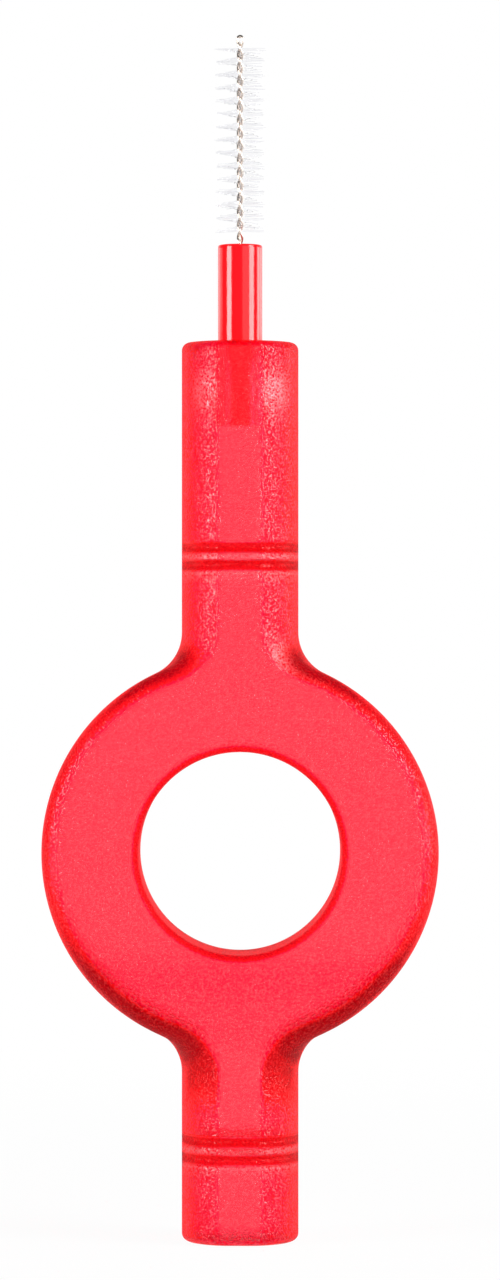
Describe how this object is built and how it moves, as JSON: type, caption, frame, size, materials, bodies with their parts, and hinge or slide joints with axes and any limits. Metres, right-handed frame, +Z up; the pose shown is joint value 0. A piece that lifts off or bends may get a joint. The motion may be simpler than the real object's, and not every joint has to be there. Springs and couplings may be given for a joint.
{
  "type": "interdental brush",
  "caption": "Interdental brush: fine bristles on a twisted wire and plastic shank, pushed into a ring-shaped finger holder with a round stub above and below the ring.",
  "frame": {"origin": "middle of the lower stub's end, where the brush stands", "axes": "+Z up along the long axis, from the lower stub to the tip of the wire; +X across the ring; the front face looks along -Y"},
  "size_m": [0.02, 0.0056, 0.061],
  "materials": {
    "holder_plastic": "translucent red with a fine satin grain",
    "shank_plastic": "glossy red",
    "wire_steel": "drawn stainless wire",
    "nylon": "clear pale nylon filament"
  },
  "bodies": {
    "holder": {"holder": "holder_plastic"},
    "brush": {"brush_shank": "shank_plastic", "wire_core": "wire_steel", "bristles": "nylon"}
  },
  "joints": [
    {"name": "brush_pull_out", "type": "slide", "parent": "holder", "child": "brush", "axis": [0, 0, 1], "range_m": [0, 0.0042]}
  ]
}
